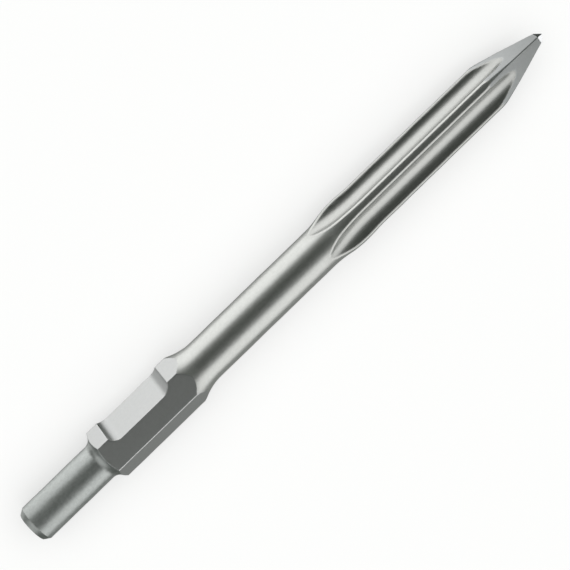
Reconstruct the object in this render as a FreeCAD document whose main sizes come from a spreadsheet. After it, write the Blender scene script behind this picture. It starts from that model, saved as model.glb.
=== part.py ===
import FreeCAD, Part

import math
import os

import Sketcher

# Pointed chisel: one forging of steel, 400 mm long, for a heavy demolition hammer.
#
# From the butt to the point it has a round nose that slides in the hammer's bore, a hexagon shank
# with a notch for the hammer's latch, a round shaft, and a blade with four flutes. The flutes leave
# four ribs, which swell out where they begin and run into the edges of a four-sided point.
#
# Own frame of the chisel, in millimetres: the origin is the centre of the butt face, +X runs along
# the axis to the point and +Z is up as the chisel lies. It lies on the flat of the hexagon that is
# a third of a turn from the notched flat.
#
# The body is drawn with its notched flat upwards, and its placement turns it to how it lies.

# Driving dimensions, in millimetres and degrees. Lengths along the axis follow one another.
DIMENSIONS = [
    ("overall_length", 400.0),
    ("nose_length", 52.3),
    ("nose_diameter", 23.7),
    ("nose_root_radius", 6.0),
    ("butt_chamfer_length", 3.5),
    ("butt_chamfer_depth", 2.3),
    ("shank_length", 83.8),
    ("shoulder_angle", 60.0),
    ("hex_across_flats", 30.0),
    ("hex_edge_radius", 1.0),
    ("forging_allowance", 0.5),
    ("neck_radius", 34.0),
    ("neck_angle", 26.0),
    ("notch_offset", 21.1),
    ("notch_floor_length", 31.8),
    ("notch_depth", 4.1),
    ("notch_butt_radius", 7.2),
    ("notch_point_radius", 8.6),
    ("notch_edge_radius", 0.5),
    ("shaft_length", 88.9),
    ("shaft_diameter", 25.9),
    ("swell_rise_length", 23.0),
    ("swell_fall_length", 16.0),
    ("swell_diameter", 30.3),
    ("rib_diameter", 29.2),
    ("rib_edge_radius", 2.5),
    ("core_thickness", 15.7),
    ("flute_radius", 8.0),
    ("flute_runout_length", 30.2),
    ("flute_runout_radius", 85.0),
    ("point_length", 39.7),
    ("point_angle", 34.0),
    ("tip_length", 3.2),
    ("tip_flat", 0.5),
]

SIDES = 6
RIBS = 4
TURN_FROM_NOTCH_TO_TOP = 60.0

# How far a cutting outline reaches past the steel that it removes.
CLEAR = 1.0

# The die that sinks a flute swings through this turn, far enough to leave the steel.
RUNOUT_TURN = 45.0

# The blank's seam line lies this many degrees from the notch, on a rib, where no flute crosses it.
SEAM_TURN = 43.0

# Two faces whose normals at an edge have a greater cosine between them run on smoothly.
SMOOTH = 0.99

# Distances from the axis, worked out from the driving dimensions.
NOSE = "Sizes.nose_diameter / 2"
BUTT_EDGE = "Sizes.nose_diameter / 2 - Sizes.butt_chamfer_depth"
FLAT = "Sizes.hex_across_flats / 2"
BLANK = "Sizes.hex_across_flats / sqrt(3) + Sizes.forging_allowance"
NOTCH_FLOOR = "Sizes.hex_across_flats / 2 - Sizes.notch_depth"
SHAFT = "Sizes.shaft_diameter / 2"
CREST = "Sizes.swell_diameter / 2"
RIB = "Sizes.rib_diameter / 2"
FLUTE_CENTRE = "Sizes.core_thickness / 2 + Sizes.flute_radius"

# Stations along the axis, from the butt face.
END = "Sizes.overall_length"
NOTCH_START = "Sizes.nose_length + Sizes.notch_offset"
NOTCH_END = f"{NOTCH_START} + Sizes.notch_floor_length"
SHAFT_START = "Sizes.nose_length + Sizes.shank_length"
SWELL_START = f"{SHAFT_START} + Sizes.shaft_length"
SWELL_CREST = f"{SWELL_START} + Sizes.swell_rise_length"
SWELL_END = f"{SWELL_CREST} + Sizes.swell_fall_length"
FLUTE_START = f"{SWELL_START} + Sizes.flute_runout_length"
TIP_BASE = "Sizes.overall_length - Sizes.tip_length"

# The point is drawn at the middle of a face, which is nearer the axis than the edges by this factor.
FACE_SHARE = f"cos({180 / RIBS} deg)"
FACE_SLOPE = f"tan(Sizes.point_angle * 0.5 deg) * {FACE_SHARE}"
TIP_HEIGHT = (f"({RIB}) * {FACE_SHARE}"
              f" - (Sizes.point_length - Sizes.tip_length) * {FACE_SLOPE}")


def make_sheet(doc):
    """The driving dimensions, one named cell each."""
    sheet = doc.addObject("Spreadsheet::Sheet", "Sizes")
    for row, (name, value) in enumerate(DIMENSIONS, start=1):
        sheet.set(f"A{row}", name)
        sheet.set(f"B{row}", str(value))
        sheet.setAlias(f"B{row}", name)
    doc.recompute()
    return sheet


def number(item, expression):
    """What an expression of the sheet's cells comes to, in millimetres or radians."""
    value = item.evalExpression(expression)
    if getattr(value, "Unit", None) == FreeCAD.Units.Angle:
        return math.radians(value.Value)
    return float(value)


def origin_feature(body, role):
    """One of the body's own origin planes or axes."""
    return next(feature for feature in body.Origin.OriginFeatures if feature.Role == role)


def new_sketch(body, name, role="XZ_Plane"):
    """An empty sketch on one of the body's origin planes."""
    sketch = body.newObject("Sketcher::SketchObject", name)
    sketch.AttachmentSupport = [(origin_feature(body, role), "")]
    sketch.MapMode = "FlatFace"
    return sketch


def line(sketch, start, end):
    """Adds a straight edge between two (x, y) points."""
    return sketch.addGeometry(Part.LineSegment(FreeCAD.Vector(*start, 0), FreeCAD.Vector(*end, 0)), False)


def arc(sketch, centre, radius, start, end):
    """Adds an arc that runs anticlockwise between two angles in radians."""
    circle = Part.Circle(FreeCAD.Vector(*centre, 0), FreeCAD.Vector(0, 0, 1), radius)
    return sketch.addGeometry(Part.ArcOfCircle(circle, start, end), False)


def rule(sketch, *terms):
    """Adds a constraint without a size."""
    sketch.addConstraint(Sketcher.Constraint(*terms))


def size(sketch, name, expression, *terms):
    """Adds a constraint with a size and binds it to an expression of the sheet's cells."""
    index = sketch.addConstraint(Sketcher.Constraint(*terms, number(sketch, expression)))
    sketch.renameConstraint(index, name)
    sketch.setExpression("Constraints." + name, expression)


def place(sketch, name, edge, end, across=None, up=None):
    """Places one end of an edge by its distances from the sketch's origin."""
    if across is not None:
        size(sketch, name + "_across", across, "DistanceX", -1, 1, edge, end)
    if up is not None:
        size(sketch, name + "_up", up, "DistanceY", -1, 1, edge, end)


def join(sketch, chain):
    """Joins the edges of a closed outline. Each has its first end, its last end and how it meets the next."""
    for (edge, _, last, kind), (after, first, _, _) in zip(chain, chain[1:] + chain[:1]):
        rule(sketch, kind, edge, last, after, first)


def outline(sketch, points):
    """A closed outline of straight edges through the points in order."""
    edges = [line(sketch, start, end) for start, end in zip(points, points[1:] + points[:1])]
    join(sketch, [(edge, 1, 2, "Coincident") for edge in edges])
    return edges


def arc_pair(run, rise):
    """The turn and the radius of two equal arcs, joined in line, that climb a rise over a run."""
    turn = 2 * math.atan(rise / run)
    return turn, run / 2 / math.sin(turn)


def blank_profile(body):
    """Half of the blank's lengthwise section, above the axis, from the butt face to the end.

    Round parts are level lines. The nose's root and the neck are hollow arcs, and the swell rises and
    falls in pairs of equal arcs that meet in line.
    """
    sketch = new_sketch(body, "BlankProfile")
    seam = FreeCAD.Rotation(FreeCAD.Vector(1, 0, 0), SEAM_TURN)
    sketch.AttachmentOffset = FreeCAD.Placement(FreeCAD.Vector(0, 0, 0), seam)

    nose, blank, shaft, crest, rib = [number(sketch, radius) for radius in (NOSE, BLANK, SHAFT, CREST, RIB)]
    butt_edge = number(sketch, BUTT_EDGE)
    chamfer_x = number(sketch, "Sizes.butt_chamfer_length")
    nose_x = number(sketch, "Sizes.nose_length")
    shaft_x, swell_x, crest_x, rib_x, end_x = [
        number(sketch, station) for station in (SHAFT_START, SWELL_START, SWELL_CREST, SWELL_END, END)
    ]

    root = number(sketch, "Sizes.nose_root_radius")
    climb = number(sketch, "Sizes.shoulder_angle * 1 deg")
    root_x = nose_x + root * math.sin(climb)
    root_y = nose + root * (1 - math.cos(climb))
    shoulder_x = root_x + (blank - root_y) / math.tan(climb)

    neck = number(sketch, "Sizes.neck_radius")
    drop = number(sketch, "Sizes.neck_angle * 1 deg")
    neck_x = shaft_x - neck * math.sin(drop)
    neck_y = shaft + neck * (1 - math.cos(drop))
    cone_x = neck_x - (blank - neck_y) / math.tan(drop)

    rise_turn, rise_radius = arc_pair(crest_x - swell_x, crest - shaft)
    fall_turn, fall_radius = arc_pair(rib_x - crest_x, crest - rib)
    down = math.radians(270)
    up = math.radians(90)

    butt = line(sketch, (0, 0), (0, butt_edge))
    chamfer = line(sketch, (0, butt_edge), (chamfer_x, nose))
    seat = line(sketch, (chamfer_x, nose), (nose_x, nose))
    hollow = arc(sketch, (nose_x, nose + root), root, down, down + climb)
    shoulder = line(sketch, (root_x, root_y), (shoulder_x, blank))
    shank = line(sketch, (shoulder_x, blank), (cone_x, blank))
    cone = line(sketch, (cone_x, blank), (neck_x, neck_y))
    sweep = arc(sketch, (shaft_x, shaft + neck), neck, down - drop, down)
    round_shaft = line(sketch, (shaft_x, shaft), (swell_x, shaft))
    rise_start = arc(sketch, (swell_x, shaft + rise_radius), rise_radius, down, down + rise_turn)
    rise_end = arc(sketch, (crest_x, crest - rise_radius), rise_radius, up, up + rise_turn)
    fall_start = arc(sketch, (crest_x, crest - fall_radius), fall_radius, up - fall_turn, up)
    fall_end = arc(sketch, (rib_x, rib + fall_radius), fall_radius, down - fall_turn, down)
    ribs = line(sketch, (rib_x, rib), (end_x, rib))
    end = line(sketch, (end_x, rib), (end_x, 0))
    axis = line(sketch, (end_x, 0), (0, 0))

    join(sketch, [
        (butt, 1, 2, "Coincident"),
        (chamfer, 1, 2, "Coincident"),
        (seat, 1, 2, "Tangent"),
        (hollow, 1, 2, "Tangent"),
        (shoulder, 1, 2, "Coincident"),
        (shank, 1, 2, "Coincident"),
        (cone, 1, 2, "Tangent"),
        (sweep, 1, 2, "Tangent"),
        (round_shaft, 1, 2, "Tangent"),
        (rise_start, 1, 2, "Tangent"),
        (rise_end, 2, 1, "Tangent"),
        (fall_start, 2, 1, "Tangent"),
        (fall_end, 1, 2, "Tangent"),
        (ribs, 1, 2, "Coincident"),
        (end, 1, 2, "Coincident"),
        (axis, 1, 2, "Coincident"),
    ])
    rule(sketch, "Coincident", -1, 1, butt, 1)
    for level in (seat, shank, round_shaft, ribs, axis):
        rule(sketch, "Horizontal", level)
    for upright in (butt, end):
        rule(sketch, "Vertical", upright)
    rule(sketch, "Vertical", rise_end, 3, rise_end, 1)
    rule(sketch, "Equal", rise_start, rise_end)
    rule(sketch, "Equal", fall_start, fall_end)

    place(sketch, "butt_edge", butt, 2, up=BUTT_EDGE)
    place(sketch, "seat_start", seat, 1, across="Sizes.butt_chamfer_length", up=NOSE)
    place(sketch, "seat_end", seat, 2, across="Sizes.nose_length")
    size(sketch, "root_radius", "Sizes.nose_root_radius", "Radius", hollow)
    size(sketch, "shoulder_angle", "Sizes.shoulder_angle * 1 deg", "Angle", shoulder)
    place(sketch, "shank", shank, 1, up=BLANK)
    size(sketch, "neck_angle", "-Sizes.neck_angle * 1 deg", "Angle", cone)
    size(sketch, "neck_radius", "Sizes.neck_radius", "Radius", sweep)
    place(sketch, "shaft_start", round_shaft, 1, across=SHAFT_START, up=SHAFT)
    place(sketch, "swell_start", round_shaft, 2, across=SWELL_START)
    place(sketch, "swell_crest", rise_end, 1, across=SWELL_CREST, up=CREST)
    place(sketch, "swell_end", ribs, 1, across=SWELL_END, up=RIB)
    place(sketch, "end", ribs, 2, across=END)
    return sketch


def turn_blank(body):
    """The blank: the profile turned about the axis."""
    profile = blank_profile(body)
    blank = body.newObject("PartDesign::Revolution", "Blank")
    blank.Profile = profile
    blank.ReferenceAxis = (profile, ["H_Axis"])
    blank.Angle = 360.0
    return blank


def cut_across(body, sketch, name, width):
    """Takes away what a side view outlines, as far on both sides of the middle plane."""
    cut = body.newObject("PartDesign::Pocket", name)
    cut.Profile = sketch
    cut.SideType = "Symmetric"
    cut.setExpression("Length", width)
    return cut


def repeat_round_axis(body, cut, name, times):
    """Repeats a cut evenly round the chisel's axis."""
    pattern = body.newObject("PartDesign::PolarPattern", name)
    pattern.Originals = [cut]
    pattern.Axis = (origin_feature(body, "X_Axis"), [""])
    pattern.Angle = 360.0
    pattern.Occurrences = times
    body.Tip = pattern
    return pattern


def normal_at(face, point):
    """The outward normal of a face at a point on it."""
    return face.normalAt(*face.Surface.parameter(point))


def sharp_edges(shape, start, end, wanted=None):
    """The names of the edges between two stations along the axis where two faces meet at a corner.

    Seams between surfaces that run on smoothly are left out. A test of the edge and its middle point
    can narrow the choice.
    """
    names = []
    for index, edge in enumerate(shape.Edges, start=1):
        faces = shape.ancestorsOfType(edge, Part.Face)
        middle = edge.valueAt((edge.FirstParameter + edge.LastParameter) / 2)
        if len(faces) != 2 or not start < middle.x < end:
            continue
        if normal_at(faces[0], middle).dot(normal_at(faces[1], middle)) > SMOOTH:
            continue
        if wanted is None or wanted(edge, middle):
            names.append(f"Edge{index}")
    return names


def runs_along_axis(edge, middle):
    """True for an edge parallel to the axis."""
    return abs(edge.tangentAt(edge.FirstParameter).x) > SMOOTH


def on_notch_side(edge, middle):
    """True for an edge above the axis, on the side of the notch."""
    return middle.z > 0


def round_edges(body, base, names, name, radius):
    """Rounds the named edges of a feature."""
    fillet = body.newObject("PartDesign::Fillet", name)
    fillet.Base = (base, names)
    fillet.setExpression("Radius", radius)
    body.Tip = fillet
    return fillet


def forge_hexagon(doc, body):
    """Six flats on the shank, from the shoulder to the neck, with rounded edges between them."""
    sketch = new_sketch(body, "FlatProfile")
    start, end, low = [number(sketch, text) for text in ("Sizes.nose_length", SHAFT_START, FLAT)]
    high = number(sketch, "Sizes.hex_across_flats")
    floor, front, top, back = outline(sketch, [(start, low), (end, low), (end, high), (start, high)])
    for level in (floor, top):
        rule(sketch, "Horizontal", level)
    for upright in (front, back):
        rule(sketch, "Vertical", upright)
    place(sketch, "flat_start", floor, 1, across="Sizes.nose_length", up=FLAT)
    place(sketch, "flat_end", floor, 2, across=SHAFT_START)
    place(sketch, "outside", top, 2, up="Sizes.hex_across_flats")
    flat = cut_across(body, sketch, "Flat", "2 * Sizes.hex_across_flats")
    flats = repeat_round_axis(body, flat, "Flats", SIDES)
    doc.recompute()
    corners = sharp_edges(flats.Shape, start, end, runs_along_axis)
    round_edges(body, flats, corners, "HexagonEdges", "Sizes.hex_edge_radius")


def cut_notch(doc, body):
    """The latch notch across one flat: a level floor with a hollow arc at each end."""
    sketch = new_sketch(body, "NotchProfile")
    start, end, low = [number(sketch, text) for text in (NOTCH_START, NOTCH_END, NOTCH_FLOOR)]
    butt_radius = number(sketch, "Sizes.notch_butt_radius")
    point_radius = number(sketch, "Sizes.notch_point_radius")
    right, down, left = [math.radians(angle) for angle in (360, 270, 180)]
    floor = line(sketch, (start, low), (end, low))
    point_arc = arc(sketch, (end, low + point_radius), point_radius, down, right)
    top = line(sketch, (end + point_radius, low + point_radius), (start - butt_radius, low + butt_radius))
    butt_arc = arc(sketch, (start, low + butt_radius), butt_radius, left, down)
    join(sketch, [
        (floor, 1, 2, "Tangent"),
        (point_arc, 1, 2, "Coincident"),
        (top, 1, 2, "Coincident"),
        (butt_arc, 1, 2, "Tangent"),
    ])
    rule(sketch, "Horizontal", floor)
    rule(sketch, "Horizontal", point_arc, 3, point_arc, 2)
    rule(sketch, "Horizontal", butt_arc, 3, butt_arc, 1)
    size(sketch, "point_radius", "Sizes.notch_point_radius", "Radius", point_arc)
    size(sketch, "butt_radius", "Sizes.notch_butt_radius", "Radius", butt_arc)
    place(sketch, "floor_start", floor, 1, across=NOTCH_START, up=NOTCH_FLOOR)
    place(sketch, "floor_end", floor, 2, across=NOTCH_END)
    notch = cut_across(body, sketch, "Notch", "2 * Sizes.hex_across_flats")
    doc.recompute()
    rim = sharp_edges(notch.Shape, start - butt_radius, end + point_radius, on_notch_side)
    round_edges(body, notch, rim, "NotchEdges", "Sizes.notch_edge_radius")


def flute_path(body):
    """The way of the die's centre: level from beyond the point, then out of the steel in a wide arc."""
    sketch = new_sketch(body, "FlutePath")
    swing_size = "Sizes.flute_runout_radius - Sizes.flute_radius"
    start, end = number(sketch, END), number(sketch, FLUTE_START)
    height, swing = number(sketch, FLUTE_CENTRE), number(sketch, swing_size)
    down = math.radians(270)
    level = line(sketch, (start + CLEAR, height), (end, height))
    lift = arc(sketch, (end, height + swing), swing, down - math.radians(RUNOUT_TURN), down)
    rule(sketch, "Horizontal", level)
    rule(sketch, "Tangent", level, 2, lift, 2)
    place(sketch, "start", level, 1, across=f"{END} + {CLEAR}", up=FLUTE_CENTRE)
    place(sketch, "floor_start", level, 2, across=FLUTE_START)
    size(sketch, "swing", swing_size, "Radius", lift)
    size(sketch, "lift", f"({swing_size}) * sin({RUNOUT_TURN} deg)", "DistanceX", lift, 1, lift, 2)
    return sketch


def flute_section(body):
    """The die's round section, at the beginning of its way."""
    sketch = new_sketch(body, "FluteSection", "YZ_Plane")
    sketch.setExpression("AttachmentOffset.Base.z", f"{END} + {CLEAR}")
    centre = FreeCAD.Vector(0, number(sketch, FLUTE_CENTRE), 0)
    radius = number(sketch, "Sizes.flute_radius")
    ring = sketch.addGeometry(Part.Circle(centre, FreeCAD.Vector(0, 0, 1), radius), False)
    rule(sketch, "PointOnObject", ring, 3, -2)
    place(sketch, "centre", ring, 3, up=FLUTE_CENTRE)
    size(sketch, "radius", "Sizes.flute_radius", "Radius", ring)
    return sketch


def forge_flutes(doc, body):
    """Four flutes with rounded run-outs, and the soft edges of the ribs between them."""
    path = flute_path(body)
    flute = body.newObject("PartDesign::SubtractivePipe", "Flute")
    flute.Profile = flute_section(body)
    flute.Spine = (path, ["Edge1", "Edge2"])
    flutes = repeat_round_axis(body, flute, "Flutes", RIBS)
    doc.recompute()
    start = number(body, SWELL_START) - CLEAR
    end = number(body, END) - CLEAR
    round_edges(body, flutes, sharp_edges(flutes.Shape, start, end), "RibEdges", "Sizes.rib_edge_radius")


def grind_point(body):
    """Four flat faces whose edges run up the middle of the ribs, and a blunter tip."""
    sketch = new_sketch(body, "PointProfile")
    end, tip_x, tip_y, slope = [number(sketch, text) for text in (END, TIP_BASE, TIP_HEIGHT, FACE_SLOPE)]
    high = number(sketch, CREST) + CLEAR
    flat = number(sketch, "Sizes.tip_flat / 2")
    face, _, step, front, top = outline(sketch, [
        (tip_x - (high - tip_y) / slope, high),
        (tip_x, tip_y),
        (end, flat),
        (end + CLEAR, flat),
        (end + CLEAR, high),
    ])
    for level in (step, top):
        rule(sketch, "Horizontal", level)
    rule(sketch, "Vertical", front)
    size(sketch, "face_angle", f"-atan({FACE_SLOPE})", "Angle", face)
    place(sketch, "tip_base", face, 2, across=TIP_BASE, up=TIP_HEIGHT)
    place(sketch, "tip", step, 1, across=END, up="Sizes.tip_flat / 2")
    place(sketch, "outside", front, 2, across=f"{END} + {CLEAR}", up=f"{CREST} + {CLEAR}")
    face_cut = cut_across(body, sketch, "PointFace", "2 * Sizes.swell_diameter")
    repeat_round_axis(body, face_cut, "PointFaces", RIBS)


def make_chisel(doc):
    """The chisel as one body, shaped in the order of the real work."""
    body = doc.addObject("PartDesign::Body", "Chisel")
    body.Label = "pointed_chisel"
    turn_blank(body)
    forge_hexagon(doc, body)
    cut_notch(doc, body)
    forge_flutes(doc, body)
    grind_point(body)
    turn = FreeCAD.Rotation(FreeCAD.Vector(1, 0, 0), -TURN_FROM_NOTCH_TO_TOP)
    body.Placement = FreeCAD.Placement(FreeCAD.Vector(0, 0, 0), turn)
    doc.recompute()
    return body


def check(doc, body):
    """Stops the build when a feature failed or the shape is no sound solid."""
    for item in doc.Objects:
        if "Invalid" in item.State or "Error" in item.State:
            raise RuntimeError(f"{item.Name} failed: {item.State}")
    if body.Shape.isNull() or not body.Shape.isValid() or len(body.Shape.Solids) != 1:
        raise RuntimeError(f"{body.Label} is not one sound solid")


def main():
    doc = FreeCAD.newDocument("PointedChisel")
    make_sheet(doc)
    chisel = make_chisel(doc)
    check(doc, chisel)
    os.makedirs("parts", exist_ok=True)
    chisel.Shape.exportStep(f"parts/{chisel.Label}.step")
    print(chisel.Label, "volume in cubic millimetres:", round(chisel.Shape.Volume))


main()
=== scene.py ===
# %% [markdown]
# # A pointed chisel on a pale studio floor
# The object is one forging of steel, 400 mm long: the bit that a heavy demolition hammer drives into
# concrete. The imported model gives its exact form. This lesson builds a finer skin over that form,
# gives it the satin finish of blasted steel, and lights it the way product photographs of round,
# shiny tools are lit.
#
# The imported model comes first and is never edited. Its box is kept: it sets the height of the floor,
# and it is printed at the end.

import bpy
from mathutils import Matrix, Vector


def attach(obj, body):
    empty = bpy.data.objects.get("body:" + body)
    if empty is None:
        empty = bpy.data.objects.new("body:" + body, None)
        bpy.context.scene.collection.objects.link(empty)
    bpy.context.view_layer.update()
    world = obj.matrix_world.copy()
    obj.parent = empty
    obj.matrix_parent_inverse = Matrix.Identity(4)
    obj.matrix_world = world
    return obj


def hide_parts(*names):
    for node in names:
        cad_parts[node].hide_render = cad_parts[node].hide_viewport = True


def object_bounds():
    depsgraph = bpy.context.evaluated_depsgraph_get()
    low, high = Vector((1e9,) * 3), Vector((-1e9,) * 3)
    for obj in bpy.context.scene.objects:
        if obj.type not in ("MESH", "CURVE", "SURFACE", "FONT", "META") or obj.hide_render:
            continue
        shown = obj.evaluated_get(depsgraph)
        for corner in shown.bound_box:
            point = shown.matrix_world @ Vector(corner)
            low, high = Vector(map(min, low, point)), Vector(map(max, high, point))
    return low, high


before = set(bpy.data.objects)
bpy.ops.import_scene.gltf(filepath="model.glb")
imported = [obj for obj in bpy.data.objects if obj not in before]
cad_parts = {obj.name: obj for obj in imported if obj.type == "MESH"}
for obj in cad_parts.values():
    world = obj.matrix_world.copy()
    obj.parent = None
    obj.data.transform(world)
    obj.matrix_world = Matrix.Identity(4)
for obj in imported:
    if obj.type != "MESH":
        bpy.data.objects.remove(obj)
cad_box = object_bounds()
print("the packed model reaches from", list(cad_box[0]), "to", list(cad_box[1]))

# %% [markdown]
# ## Tools of the lesson
# Numpy works out the form as whole arrays. Blender's own vectors and matrices place the camera and the
# lights. The form is worked out in millimetres and scaled to metres at the very end.

# %% Bring in the tools
import math
from collections import namedtuple

import bpy
import numpy as np
from mathutils import Matrix, Vector

scene = bpy.context.scene
MM = 0.001


def show(thing):
    """Links an object into the scene."""
    scene.collection.objects.link(thing)
    return thing


print("Blender", bpy.app.version_string, "with numpy", np.__version__)

# %% [markdown]
# ## The camera
# The photograph looks almost straight down on the chisel, from a little over a metre away. The tool
# runs from the lower left to the upper right, 44 degrees above the level. The direction to the camera
# leans 10.5 degrees from straight up, towards the side of the latch notch: that is why the notched
# flat and two more flats of the hexagon can be seen at once.
#
# A camera could be turned by hand until the picture fits. Here its matrix is written down instead,
# because each number in it can then be measured in the photograph. Its columns are the picture's
# right, the picture's up and the way back to the camera. All three follow from the lean and from the
# tool's slope in the picture.

# %% Point the camera
PICTURE_PIXELS, FOCAL_PIXELS, SENSOR_WIDTH = 570, 1880, 36.0
LEAN = math.radians(10.5)
SLOPE = math.radians(44.07)
CAMERA_DISTANCE = 1.061
AIM = Vector((0.1974, 0, 0))
AIM_BESIDE_AXIS = 0.0010

along = Vector((1, 0, 0))
to_camera = Vector((0, math.sin(LEAN), math.cos(LEAN)))
to_notch_side = Vector((0, math.cos(LEAN), -math.sin(LEAN)))
picture_right = math.cos(SLOPE) * along - math.sin(SLOPE) * to_notch_side
picture_up = math.sin(SLOPE) * along + math.cos(SLOPE) * to_notch_side


def standing(place, x_axis, y_axis, z_axis):
    """The matrix of a thing at a place with its three axes along given directions."""
    turn = Matrix((x_axis, y_axis, z_axis)).transposed()
    return Matrix.LocRotScale(place, turn.to_quaternion(), None)


camera_data = bpy.data.cameras.new("camera")
camera_data.sensor_width = SENSOR_WIDTH
camera_data.lens = SENSOR_WIDTH * FOCAL_PIXELS / PICTURE_PIXELS
camera = show(bpy.data.objects.new("camera", camera_data))
aim = AIM - to_notch_side * AIM_BESIDE_AXIS
camera.matrix_world = standing(aim + to_camera * CAMERA_DISTANCE, picture_right, picture_up, to_camera)
scene.camera = camera
view_width = math.degrees(camera_data.angle)
print("lens", round(camera_data.lens, 1), "mm, which sees", round(view_width, 1), "degrees across")

# %% [markdown]
# ## The floor
# The chisel lies on plain pale paper that is lit from behind as well as from above, as on a light
# table. Most of its brightness is its own, so the chisel leaves only a breath of a shadow. Plain white
# paper under lamps would need far more light, and would show a darker shadow. The steel doesn't see
# the paper, and the paper doesn't shade the lights that stand low beside it.

# %% Roll out the paper
FLOOR_HALF = 6.0
PAPER_COLOUR = (0.37, 0.37, 0.368, 1)
PAPER_ROUGHNESS, PAPER_SHEEN = 0.9, 0.1
PAPER_GLOW = (1.0, 1.0, 0.995, 1)
PAPER_GLOW_STRENGTH = 0.53

floor_height = cad_box[0][2]
floor_corners = np.array([(-1, -1), (1, -1), (1, 1), (-1, 1)]) * FLOOR_HALF
floor_corners = np.column_stack([floor_corners, np.full(4, floor_height)])
floor_mesh = bpy.data.meshes.new("floor")
floor_mesh.from_pydata(floor_corners.tolist(), [], [(0, 1, 2, 3)])
floor = show(bpy.data.objects.new("floor", floor_mesh))
floor.visible_glossy = False
floor.visible_shadow = False

paper = bpy.data.materials.new("pale_paper")
paper.use_nodes = True
paper_skin = paper.node_tree.nodes["Principled BSDF"]
paper_skin.inputs["Base Color"].default_value = PAPER_COLOUR
paper_skin.inputs["Roughness"].default_value = PAPER_ROUGHNESS
paper_skin.inputs["Specular IOR Level"].default_value = PAPER_SHEEN
paper_skin.inputs["Emission Color"].default_value = PAPER_GLOW
paper_skin.inputs["Emission Strength"].default_value = PAPER_GLOW_STRENGTH
floor_mesh.materials.append(paper)
print("the paper lies", round(-floor_height / MM, 2), "mm below the axis")

# %% [markdown]
# ## The light
# Polished or satin steel has hardly any colour of its own. It shows what stands round it. A round bar
# that shows a dark middle between two bright bands stands between two long softboxes with a dark gap
# above it, where the camera is. Small lamps would only leave small hot lines on it.
#
# Each softbox is given by the directions that it fills, as angles round the tool from the camera's
# direction. The steel sees it at half those angles: a softbox from 43 to 119 degrees lights the part
# of a round bar whose surface leans 21 to 60 degrees.
#
# The softboxes are linked to the steel alone, so they leave no patches on the paper.

# %% Place the softboxes
SOFTBOX_DISTANCE = 0.62

for_the_steel = bpy.data.collections.new("lit_by_softboxes")
Softbox = namedtuple("Softbox", "name start end length shift radiance")


def softbox(box):
    """A flat rectangular light. Its width is what the two angles span at its distance, and its power
    is radiance times pi times area, which is what a flat light that shines evenly gives off."""
    middle = math.radians((box.start + box.end) / 2)
    half = math.radians(abs(box.end - box.start) / 2)
    outward = to_camera * math.cos(middle) + to_notch_side * math.sin(middle)
    lamp = bpy.data.lights.new(box.name, "AREA")
    lamp.shape = "RECTANGLE"
    lamp.size = box.length
    lamp.size_y = 2 * SOFTBOX_DISTANCE * math.tan(half)
    lamp.energy = box.radiance * math.pi * lamp.size * lamp.size_y
    thing = show(bpy.data.objects.new(box.name, lamp))
    place = AIM + along * box.shift + outward * SOFTBOX_DISTANCE
    thing.matrix_world = standing(place, along, outward.cross(along), outward)
    thing.light_linking.receiver_collection = for_the_steel
    print(box.name, round(lamp.size, 2), "by", round(lamp.size_y, 2), "m,", round(lamp.energy, 1), "W")


softbox(Softbox("softbox_notch_side", 43, 119, 0.86, 0.07, 1.33))
softbox(Softbox("softbox_far_side", -43, -105, 0.90, 0.0, 1.16))
softbox(Softbox("strip_below_far_side", -122, -165, 0.95, 0.0, 0.17))
softbox(Softbox("strip_below_notch_side", 122, 144, 0.60, -0.12, 0.35))

# %% [markdown]
# ## Three panels at the ends
# The hollow behind the nose and the chamfer of the butt lean along the axis, so they show what hangs
# beyond the butt. Two panels there keep them from going black. A small panel beyond the point puts
# the glint on one facet of the tip. Longer softboxes could reach as far, but they would also change
# the bands along the tool.

# %% Stand the panels up
PANEL_DISTANCE = 0.70

Panel = namedtuple("Panel", "name outward size radiance")


def panel(one):
    """A square light that looks back at the middle of the chisel, with a power as for a softbox."""
    outward = one.outward.normalized()
    lamp = bpy.data.lights.new(one.name, "AREA")
    lamp.shape = "SQUARE"
    lamp.size = one.size
    lamp.energy = one.radiance * math.pi * one.size**2
    thing = show(bpy.data.objects.new(one.name, lamp))
    side = outward.cross(Vector((0, 0, 1))).normalized()
    thing.matrix_world = standing(AIM + outward * PANEL_DISTANCE, side, outward.cross(side), outward)
    thing.light_linking.receiver_collection = for_the_steel
    print(one.name, "is", one.size, "m square, with", round(lamp.energy, 1), "W")


over_the_butt = -0.90 * along + 0.44 * to_camera
beside_the_butt = -0.62 * along + 0.62 * to_notch_side - 0.47 * to_camera
beside_the_point = 0.85 * along - 0.45 * to_notch_side - 0.28 * to_camera
panel(Panel("panel_beyond_butt", over_the_butt, 0.7, 0.62))
panel(Panel("panel_low_beyond_butt", beside_the_butt, 0.5, 0.6))
panel(Panel("panel_beyond_point", beside_the_point, 0.25, 2.5))

# %% [markdown]
# ## Daylight for the paper
# A very wide sun above stands for the studio's bright ceiling. A large area light would do as well,
# but it would grow weaker towards the edge of the paper, and a sun doesn't. It is left out of
# reflections, so the steel never shows it as a disc.

# %% Light the paper from above
OVERHEAD_SPREAD = math.radians(120)
OVERHEAD_STRENGTH = 3.5

sky = bpy.data.lights.new("overhead", "SUN")
sky.angle = OVERHEAD_SPREAD
sky.energy = OVERHEAD_STRENGTH
overhead = show(bpy.data.objects.new("overhead", sky))
overhead.visible_glossy = False
print("the overhead light is", round(math.degrees(sky.angle)), "degrees wide")

# %% [markdown]
# ## The room
# The room is what the steel shows between the softboxes. It is dim grey, and darker still round the
# camera, where a black cloth hides the camera from the steel: the cosine of the angle to the camera
# decides how much of the cloth shows. Only the camera's own rays see the white backdrop beyond the
# paper's edge. An image of a studio could light the tool too, but a plain room is easier to steer.

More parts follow.
